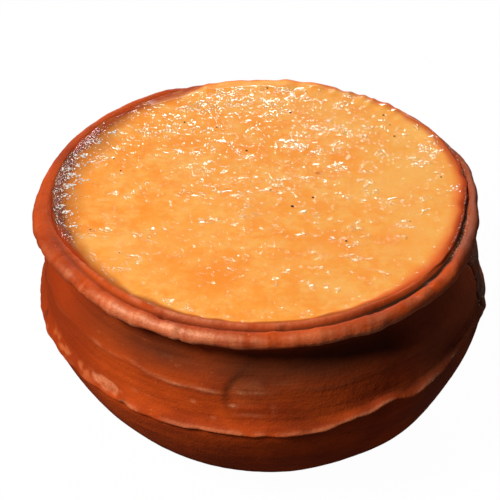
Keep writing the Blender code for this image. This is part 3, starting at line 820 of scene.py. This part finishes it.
doiShape = dict(
    half=144,                         # half the grid's cells from side to side
    top=73.7,
    folds=0.10,                       # heights of the broad folds, fine folds, creases, dots and knobs
    fineFolds=0.022,
    creases=0.055,
    dots=0.10,
    dotSize=0.62,
    knobs=0.10,
    # noises: blur in depth, blur across, seed
    noises=dict(broad=(9.0, 13.0, 21), folds=(1.7, 3.6, 22), bendX=(2.2, 2.2, 23), bendY=(2.2, 2.2, 24),
                crease=(0.9, 1.2, 25), stray=(1.8, 3.0, 27), ragged=(0.9, 1.3, 28), knobs=(1.1, 1.3, 29),
                edge=(1.4, 1.4, 31), blot=(2.6, 2.6, 41), fine=(0.7, 0.7, 42), pale=(5.0, 7.0, 43)),
    # reach under the clay round the edge
    tucked=[(106, 0.0), (114, 0.6), (205, 0.6), (230, 0.75), (298, 0.75), (308, 0.0)],
    # how far the reddish edge, partly painted shade, and the painted shade at the edge reach inwards
    redReach=[(295, 0.8), (305, 2.2), (314, 3.4), (322, 4.6), (335, 5.8), (345, 5.8), (0, 5.8),
              (20, 5.6), (32, 5.0), (46, 4.0), (60, 2.8), (75, 2.4), (100, 2.2), (108, 3.6),
              (112, 4.2), (140, 4.0), (160, 1.0), (270, 0.6)],
    rimShadeReach=[(103, 0.6), (109, 3.4), (118, 5.4), (124, 6.6), (132, 8.5), (148, 11.5), (188, 11.5),
              (197, 9.0), (205, 6.0), (215, 4.2), (230, 2.6), (245, 1.5), (260, 0.9), (290, 1.1),
              (300, 0.6), (350, 0.3)],
    # burnt edges: how dark, from, to, softened over, full out to this share of its reach, reach
    burntEdges=[(0.85, -22, 46, 10, 1.1, 2.4), (0.45, 46, 106, 10, 1.4, 1.6), (0.50, 18, 66, 14, 1.5, 3.0),
                (1.00, 200, 214, 8, 1.0, 1.6)],
    # wrinkled patches: x, y, half width, half depth
    patches=[(-35, 32, 6.0, 3.6), (-19, 47, 6.5, 3.4), (-12, 55, 4.0, 2.0), (-8, 41, 2.6, 2.0),
             (-18, 34, 4.0, 2.0), (-26, 21, 3.4, 1.8), (-41, 26, 3.0, 1.8), (-49, 19, 3.4, 2.6),
             (-38, -1, 6.5, 1.8), (-21, 0, 5.0, 2.2), (-8, 0, 2.8, 1.8), (-43, -19, 2.4, 2.4),
             (-32, -19, 3.4, 3.4), (-15, -13, 3.0, 1.8), (-4, -10, 2.6, 4.0), (15, -11, 4.2, 2.4),
             (8, 2, 2.2, 1.6), (26, -16, 3.4, 2.0), (38, -3, 6.0, 1.6), (47, -8, 2.6, 2.0),
             (33, 12, 4.4, 2.2), (14, 24, 6.5, 2.2), (36, 34, 3.6, 2.2), (24, 35, 3.0, 2.2),
             (27, 48, 4.6, 2.2), (18, 54, 5.4, 2.4), (4, 56, 5.0, 2.4), (3, 40, 4.0, 2.4),
             (12, 31, 3.2, 1.8), (38, 20, 3.0, 2.2), (52, 23, 4.4, 3.0), (40, -22, 3.2, 2.0),
             (28, -30, 4.6, 1.5), (17, -36, 2.6, 1.6), (21, -44, 4.4, 1.7)],
    # paler and, below 0, more orange areas: x, y, half width, half depth, how much
    tones=[(-12, -38, 8, 7, -1.3), (-24, -20, 7, 6, -0.5), (-4, 23, 8, 4, -0.6), (25, 19, 6, 5, -0.5),
           (17, -6, 5, 3, -0.6), (17, -21, 9, 4, -0.6), (38, -21, 6, 4, -0.7), (-44, -38, 5, 4, -1.0),
           (-50, 5, 5, 14, -0.5), (0, -9, 5, 4, -0.6), (-27, -31, 6, 5, -0.6), (24, -26, 6, 4, -0.6),
           (-23, 27, 5, 4, -0.7), (-20, 16, 6, 7, 0.5), (32, 2, 8, 6, 0.8), (46, 12, 8, 7, 0.9),
           (50, 34, 6, 8, 1.0), (20, -44, 7, 4, 0.9), (-42, -22, 5, 4, 0.6), (28, 34, 6, 6, 0.7),
           (8, -33, 6, 4, 0.4), (14, 46, 8, 5, 0.6), (-10, -8, 8, 5, 0.3), (23, 45, 6, 6, 0.6),
           (-21, 4, 5, 4, 0.6)],
    sparks=[(-19, -25), (-21, -36), (-19.6, -36.2), (-32, -42), (-50, -26), (-2, -36), (-3.4, -36.1),
            (-13, -52), (-1, -53), (0.6, -52.4), (-18, -50), (7, -44), (4, -31), (-5, -27), (12, -50)],
    # where it ran over the lip at the back: bearing, half width, height
    lumps=[(105.5, 1.6, 0.4), (96.0, 4.0, 0.12), (87.0, 3.6, 0.15), (81.5, 2.8, 1.0), (72.5, 3.6, 0.85),
           (66.0, 1.6, 0.4), (61.5, 1.3, 0.45), (57.0, 1.2, 0.5), (53.5, 0.9, 0.4), (49.0, 1.2, 0.45),
           (45.0, 0.9, 0.3)],
)


# a square of the named noise that repeats, read between its cells at any point
def skinNoise(name, x, y, size=140.0, count=1024):
    *lengths, seed = doiShape["noises"][name]
    cell = size / count
    field = blurredNoise((count, count), (cell, cell), lengths, seed)
    u, v = (x / cell) % count, (y / cell) % count
    i, j = u.astype(int) % count, v.astype(int) % count
    fu, fv = u - np.floor(u), v - np.floor(v)
    k, m = (i + 1) % count, (j + 1) % count
    return ((field[j, i] * (1 - fu) + field[j, k] * fu) * (1 - fv)
            + (field[m, i] * (1 - fu) + field[m, k] * fu) * fv)


# height of the skin and how wrinkled it is: broad folds, creases inside the wrinkled patches
# and a few dots, with low lumps over the lip at the back and an edge that droops
def curdSurface(x, y, edge):
    s = doiShape
    bearing, radius = np.degrees(np.arctan2(y, x)) % 360.0, np.hypot(x, y)
    inward = edge - radius
    bendX, bendY = skinNoise("bendX", x, y), skinNoise("bendY", x, y)
    crease = strength(skinNoise("crease", x + 0.8 * bendX, y + 0.8 * bendY), 0.5)
    ragged = skinNoise("ragged", x, y)
    dot = bells(x, y, [(atX, atY, s["dotSize"], s["dotSize"]) for atX, atY in s["sparks"]])
    rightBack = ease((x + 2.0) / 30.0) * ease((y + 25.0) / 30.0)
    stray = skinNoise("stray", x, y) + 0.4 * ragged + 0.30 * ease((y + 5.0) / 55.0) + 0.45 * rightBack
    patch = ease((bells(x, y, s["patches"]) + 0.26 * ragged - 0.28) / 0.40)
    wrinkled = np.clip(np.maximum(patch, 0.85 * ease((stray - 1.35) / 0.6)), 0.0, 1.0)

    fade = ease((inward - 0.8) / 2.0)
    keep = np.maximum(fade, span(bearing, 46, 106, 6))
    height = s["top"] + s["folds"] * skinNoise("broad", x, y) * fade
    height = height + s["fineFolds"] * skinNoise("folds", x, y) * keep
    height = height + (s["creases"] * crease - 0.02) * wrinkled * keep + s["dots"] * dot

    rim = ease((radius - 55.5) / 5.5) * (1.0 - ease((radius - 63.4) / 1.4))
    lift = sum(tall * bell(bearing, at, wide) for at, wide, tall in s["lumps"])
    lift = (lift + s["knobs"] * skinNoise("knobs", x, y)) * span(bearing, 42, 108, 4)
    height = height + (lift + 0.55 * span(bearing, 24, 52, 9)) * rim

    over = ease((edge - 62.2) / 1.4) * span(bearing, 20, 112, 8)      # where it lies on the lip
    right = span(bearing, -42, 30, 20) * (1.0 - over)
    droop = 0.30 * right * ease(1.0 - inward / 1.0) + 0.25 * right * ease(1.0 - inward / 2.8)
    return height - droop - 1.2 * over * ease(1.0 - inward / 1.5), wrinkled * keep


# square grid bent onto the unit disc: the larger coordinate becomes the radius, and the other
# one over it the angle, in eighths of a turn
def discGrid(half):
    line = np.linspace(-1.0, 1.0, 2 * half + 1)
    u, v = np.meshgrid(line, line)
    wide = np.abs(u) > np.abs(v)
    safeU, safeV = np.where(u == 0, 1e-9, u), np.where(v == 0, 1e-9, v)
    turn = np.where(wide, math.pi / 4 * v / safeU, math.pi / 2 - math.pi / 4 * u / safeV)
    radius = np.where(wide, u, v)
    return radius * np.cos(turn), radius * np.sin(turn)


# colour masks of the skin, each from 0 to 1: painted shade and a reddish edge, partly painted shade, that
# ease off inwards from the edge, a burnt spot, the froth at the left, milky and orange areas, and the dry
# skin at the back
def skinMasks(x, y, edge, wrinkled):
    s = doiShape
    bearing, inward = np.degrees(np.arctan2(y, x)) % 360.0, edge - np.hypot(x, y)
    blot, fine, pale = (skinNoise(name, x, y) for name in ("blot", "fine", "pale"))

    ragged = 1.0 + 0.10 * blot
    # reddish edge, partly painted shade, easing off inwards
    amberAndShade = ease(1.0 - (inward - 0.3) / (around(bearing, s["redReach"]) * ragged))
    # painted shade from the rim, easing off inwards
    dim = ease(1.0 - inward / (around(bearing, s["rimShadeReach"]) * ragged)) ** 0.8
    burnt = 0.9 * span(bearing, 108, 156, 5) * ease(1.0 - inward / 3.2) * ease(0.5 * fine + 0.9)
    for part, start, end, soften, full, reach in s["burntEdges"]:
        burnt = np.maximum(burnt, part * span(bearing, start, end, soften) * ease(full - inward / reach))
    burnt = np.maximum(burnt, 0.62 * bells(x, y, [(17.3, 10.4, 1.6, 0.8)]) * ease(fine + 0.8))
    foam = span(bearing, 152, 196, 12) * ease(1.0 - (inward - 1.4) / (2.6 + 0.8 * blot))
    tone = sum(part * bells(x, y, [place]) for *place, part in s["tones"])
    milky = 0.20 * ease((pale - 0.5) / 1.4) * ease(inward / 6.0) + 0.30 * ease((x - 5.0) / 45.0)
    dryReach = 0.4 + 2.6 * span(bearing, 66, 106, 44) + 1.6 * span(bearing, 84, 102, 8)
    dry = span(bearing, 26, 108, 10) * ease(1.0 - (inward - dryReach) / 0.6)
    dry = np.maximum(dry, span(bearing, 108, 122, 5) * ease(1.0 - (inward - 2.8) / 0.6))
    strong = 0.78 + 0.22 * np.maximum(ease((x + 5.0) / 25.0), ease((y - 34.0) / 14.0))
    return dict(crease=(0.02 + 0.98 * wrinkled) * strong, behind=ease((y - 4.0) / 30.0), amberAndShade=amberAndShade,
                burnt=burnt, froth=foam * (0.75 + 0.25 * ease(fine + 0.5)), dim=dim, dry=dry,
                milky=milky + 0.55 * np.maximum(tone, 0.0), tan=0.85 * np.maximum(-tone, 0.0))


# the skin, its border carried down the inside of the pot in rings, and a fan at the bottom
def makeDoi():
    s = doiShape
    count = 2 * s["half"] + 1
    u, v = discGrid(s["half"])
    bearing = np.degrees(np.arctan2(v, u)) % 360.0
    edge = around(bearing, curdEdge) + 0.16 * skinNoise("edge", 60.0 * u, 60.0 * v)
    reach = edge + around(bearing, s["tucked"])
    x, y = u * reach, v * reach
    z, wrinkled = curdSurface(x, y, edge)

    # the grid's border, in order round the disc
    index = np.arange(count * count).reshape(count, count)
    border = np.concatenate([index[0, :-1], index[:-1, -1], index[-1, :0:-1], index[:0:-1, 0]])
    bx, by, bz = x.ravel()[border], y.ravel()[border], z.ravel()[border]
    far = np.hypot(bx, by)
    lower = [(56.9, -2.4), (56.4, -8.0), (61.1, -24.0), (58.0, -45.0), (38.0, -62.0)]    # radius, level
    points = [np.stack([x.ravel(), y.ravel(), z.ravel()], axis=1),
              np.stack([bx, by, bz - 0.5], axis=1), np.stack([0.997 * bx, 0.997 * by, bz - 0.9], axis=1)]
    points += [np.stack([bx * r / far, by * r / far, np.full_like(bz, lipHeight + level)], axis=1)
               for r, level in lower]
    points = np.concatenate([*points, [[0.0, 0.0, pot["floor"] + 0.4]]])
    points[:, 0] -= np.interp(points[:, 2], *np.array(pot["lean"]).T)

    i = index[:-1, :-1].ravel()
    top = np.stack([i, i + 1, i + 1 + count, i + count], axis=1)
    rings = len(lower) + 2
    ring = np.concatenate([border, count * count + np.arange(rings * len(border))]).reshape(rings + 1, -1)
    turned = np.roll(ring, -1, axis=1)
    sides = np.stack([ring[:-1], ring[1:], turned[1:], turned[:-1]], axis=-1).reshape(-1, 4)
    bottom = np.stack([ring[-1], np.full(len(border), len(points) - 1), turned[-1]], axis=1)
    hidden = np.full(rings * len(border) + 1, 0.3)                    # the masks under the skin
    masks = {key: np.append(np.clip(mask, 0.0, 1.0).ravel(), hidden)
             for key, mask in skinMasks(x, y, edge, wrinkled).items()}
    faces = top.tolist() + sides.tolist() + bottom.tolist()
    addMesh("doi", insideSolids(points), faces, curd, masks, ["sweet_curd"])


makeDoi()


# unit ball as points and faces: rings of points between two poles
def bead(segments, rings):
    rise = np.linspace(math.pi / 2, -math.pi / 2, rings + 2)[1:-1][:, None]
    turn = (np.arange(segments) * 2 * math.pi / segments)[None, :]
    belt = np.stack([np.cos(rise) * np.cos(turn), np.cos(rise) * np.sin(turn),
                     np.sin(rise) + 0 * turn], axis=-1).reshape(-1, 3)
    points = np.concatenate([belt, [[0, 0, 1.0], [0, 0, -1.0]]])
    faces = ringFaces(rings, segments).tolist()
    ring, last = np.arange(segments), (rings - 1) * segments + np.arange(segments)
    faces += [[rings * segments, a, b] for a, b in zip(ring, np.roll(ring, -1))]
    faces += [[rings * segments + 1, b, a] for a, b in zip(last, np.roll(last, -1))]
    return points, faces


# a bead of the given half width, half depth and half height at each place, its middle at the
# height of the skin there plus a lift
def scatterBeads(name, x, y, halves, lift, material):
    edge = around(np.degrees(np.arctan2(y, x)) % 360.0, curdEdge)
    centres = np.stack([x + mouthShift, y, curdSurface(x, y, edge)[0] + lift], axis=1)
    ball, faces = bead(8, 3)
    points = (centres[:, None, :] + ball[None] * np.stack(halves, axis=1)[:, None, :]).reshape(-1, 3)
    allFaces = [[corner + i * len(ball) for corner in face] for i in range(len(centres)) for face in faces]
    addMesh(name, points, allFaces, material)


froths = dict(
    darkFroth=dict(count=600, seed=7, start=132.0, end=208.0, reach=3.4, small=0.07, large=0.18),
    # pale beads, partly painted highlights for the bubbles' glints
    paleFrothGlints=dict(count=170, seed=8, start=146.0, end=204.0, reach=6.5, small=0.08, large=0.26),
    # pale beads along the right edge, partly painted glints
    grains=dict(count=150, seed=12, start=334.0, end=388.0, reach=0.5, small=0.05, large=0.12),
)


# bubbles crowded at the edge of the skin, thinning out inwards and at both ends of the band
def makeFroth(name, material):
    f = froths[name]
    chance = np.random.default_rng(f["seed"])
    bearing = chance.uniform(f["start"], f["end"], f["count"])
    middle = 0.5 * (f["start"] + f["end"])
    inward = 0.25 + f["reach"] * chance.power(0.7, f["count"]) * span(bearing, middle - 22, middle + 24, 22)
    radius = around(bearing, curdEdge) - inward
    size = f["small"] + (f["large"] - f["small"]) * chance.power(0.4, f["count"])
    x, y = radius * np.cos(np.radians(bearing)), radius * np.sin(np.radians(bearing))
    stretch = chance.uniform(0.7, 1.5, f["count"])
    scatterBeads(name, x, y, (size * stretch, size / stretch, 0.6 * size), 0.10 * size, material)


blobs = dict(
    seed=9, small=0.16, large=0.50,
    # clusters: bearing, radius, spread, how many
    clusters=[(160.0, 57.2, 1.0, 16), (165.0, 55.8, 1.0, 14), (170.5, 56.4, 1.1, 20), (176.0, 55.8, 1.2, 24),
              (173.0, 53.6, 1.2, 12), (181.0, 56.9, 0.9, 12), (190.0, 56.8, 0.9, 12), (196.0, 56.2, 1.0, 12),
              (151.0, 56.6, 0.9, 10), (145.0, 55.6, 1.0, 9), (168.0, 58.6, 0.8, 10), (186.0, 58.4, 0.8, 8)],
)


# larger pale bubbles strewn round the middle of each cluster, their white partly a painted highlight for the
# bubbles' glints
def makeBlobs():
    chance = np.random.default_rng(blobs["seed"])
    bearing, radius, spread, many = np.array(blobs["clusters"]).T
    bearing, radius, spread = (np.repeat(value, many.astype(int)) for value in (bearing, radius, spread))
    x = radius * np.cos(np.radians(bearing)) + spread * chance.standard_normal(len(radius))
    y = radius * np.sin(np.radians(bearing)) + 0.7 * spread * chance.standard_normal(len(radius))
    size = blobs["small"] + (blobs["large"] - blobs["small"]) * chance.power(0.6, len(radius))
    stretch = chance.uniform(0.7, 1.6, len(radius))
    scatterBeads("blobs", x, y, (size * stretch, size / stretch, 0.5 * size), 0.05, paleFrothGlints)


specks = dict(
    # toasted specks: x, y, size
    at=[(9.7, -6.6, 0.50), (15.8, -2.2, 0.36), (-3.7, 22.0, 0.36), (10.2, 43.2, 0.34), (39.6, 41.7, 0.34),
        (42.2, 30.2, 0.34), (41.3, 36.5, 0.24), (3.0, 57.6, 0.3), (24.6, -22.6, 0.34), (54.5, 8.4, 0.26),
        (-23.2, 37.5, 0.34), (-13.1, 34.7, 0.24), (-41.5, 11.5, 0.26), (-44.0, 17.8, 0.22),
        (-48.2, -17.6, 0.24), (-39.1, -28.1, 0.24), (43.4, -13.3, 0.22), (3.5, 1.4, 0.22)],
)


def makeSpecks():
    x, y, size = np.array(specks["at"]).T
    scatterBeads("specks", x, y, (1.1 * size, 0.9 * size, 0.5 * size), 0.1, toasted)


makeFroth("darkFroth", darkFroth)
makeFroth("paleFrothGlints", paleFrothGlints)
makeFroth("grains", paleFrothGlints)
makeBlobs()
makeSpecks()
print("froth and specks strewn")


stage = dict(
    floorSize=6.0,
    floorGap=0.0003,                  # how far the floor lies under the base
    shadowShare=0.02,                 # how much of the floor's own shading the camera sees
    bounce=(0.13, 0.11, 0.10),        # how much light the floor throws back at the pot
    mirrored=0.05,                    # how bright the floor looks in reflections
    ambient=0.050,
    ambientColour=(0.95, 0.97, 1.0),
)


# a large square that the camera sees almost white, and other light sees as dark
def makeFloor():
    half, low = stage["floorSize"] / 2, -stage["floorGap"]
    mesh = bpy.data.meshes.new("floor")
    mesh.from_pydata([(-half, -half, low), (half, -half, low), (half, half, low), (-half, half, low)],
                     [], [(0, 1, 2, 3)])
    material = bpy.data.materials.new("paleFloor")
    material.use_nodes = True
    tree = material.node_tree
    tree.nodes.clear()
    glow = node(tree, "ShaderNodeEmission", {"Color": (1.0, 1.0, 1.0, 1.0), "Strength": 1.0})
    matte = node(tree, "ShaderNodeBsdfDiffuse", {"Color": (0.9, 0.9, 0.9, 1.0)})
    seen = node(tree, "ShaderNodeMixShader", {0: stage["shadowShare"], 1: glow.outputs[0],
                                              2: matte.outputs[0]})
    dark = node(tree, "ShaderNodeBsdfDiffuse", {"Color": (*stage["bounce"], 1.0)})
    dim = node(tree, "ShaderNodeEmission", {"Strength": stage["mirrored"]})
    path = node(tree, "ShaderNodeLightPath")
    other = node(tree, "ShaderNodeMixShader", {0: path.outputs["Is Glossy Ray"], 1: dark.outputs[0],
                                               2: dim.outputs[0]})
    mixed = node(tree, "ShaderNodeMixShader", {0: path.outputs["Is Camera Ray"], 1: other.outputs[0],
                                               2: seen.outputs[0]})
    output = node(tree, "ShaderNodeOutputMaterial")
    tree.links.new(mixed.outputs[0], output.inputs["Surface"])
    mesh.materials.append(material)
    floor = bpy.data.objects.new("floor", mesh)
    bpy.context.scene.collection.objects.link(floor)


# white to the camera, a weak soft light to everything else
def makeWorld():
    world = bpy.data.worlds.new("studio")
    world.use_nodes = True
    tree = world.node_tree
    tree.nodes.clear()
    path = node(tree, "ShaderNodeLightPath")
    white = node(tree, "ShaderNodeBackground", {"Color": (1.0, 1.0, 1.0, 1.0), "Strength": 1.0})
    soft = node(tree, "ShaderNodeBackground", {"Color": (*stage["ambientColour"], 1.0),
                                               "Strength": stage["ambient"]})
    mixed = node(tree, "ShaderNodeMixShader", {0: path.outputs["Is Camera Ray"], 1: soft.outputs[0],
                                               2: white.outputs[0]})
    output = node(tree, "ShaderNodeOutputWorld")
    tree.links.new(mixed.outputs[0], output.inputs["Surface"])
    bpy.context.scene.world = world


# bearing, elevation, distance in metres, size, power, colour, whether it shows in reflections
lights = dict(
    key=(213.0, 49.0, 1.3, 0.42, 18.0, (1.0, 0.97, 0.93), True),
    back=(90.0, 16.0, 1.3, 0.30, 8.0, (1.0, 1.0, 1.0), True),
    rear=(62.0, 36.0, 1.4, 1.20, 4.4, (1.0, 0.98, 0.95), False),
)


# round soft lamps that look at a point a little above the base
def makeLights():
    for name, (bearing, rise, distance, size, power, colour, mirrored) in lights.items():
        lamp = bpy.data.lights.new(name, "AREA")
        lamp.shape, lamp.size, lamp.energy, lamp.color = "DISK", size, power, colour
        a, e = math.radians(bearing), math.radians(rise)
        away = Vector((math.cos(a) * math.cos(e), math.sin(a) * math.cos(e), math.sin(e)))
        piece = bpy.data.objects.new(name, lamp)
        piece.location = away * distance + Vector((0.0, 0.0, 0.05))
        piece.rotation_mode = "QUATERNION"
        piece.rotation_quaternion = away.to_track_quat("Z", "Y")
        piece.visible_glossy = mirrored
        bpy.context.scene.collection.objects.link(piece)


cameraPlace = dict(target=(-5.95, 0.0, 52.45), elevation=38.434, distance=455.0, lens=107.94)


# in front of the pot, looking down at the target
def makeCamera():
    c = cameraPlace
    e = math.radians(c["elevation"])
    back = Vector((0.0, -math.cos(e), math.sin(e)))
    data = bpy.data.cameras.new("camera")
    data.lens, data.sensor_width, data.clip_start = c["lens"], 36.0, 0.01
    camera = bpy.data.objects.new("camera", data)
    camera.location = (Vector(c["target"]) + back * c["distance"]) * mm
    camera.rotation_mode = "QUATERNION"
    camera.rotation_quaternion = back.to_track_quat("Z", "Y")
    bpy.context.scene.collection.objects.link(camera)
    bpy.context.scene.camera = camera


makeFloor()
makeWorld()
makeLights()
makeCamera()
bpy.context.scene.view_settings.view_transform = "Standard"
print("stage, lights and camera set")
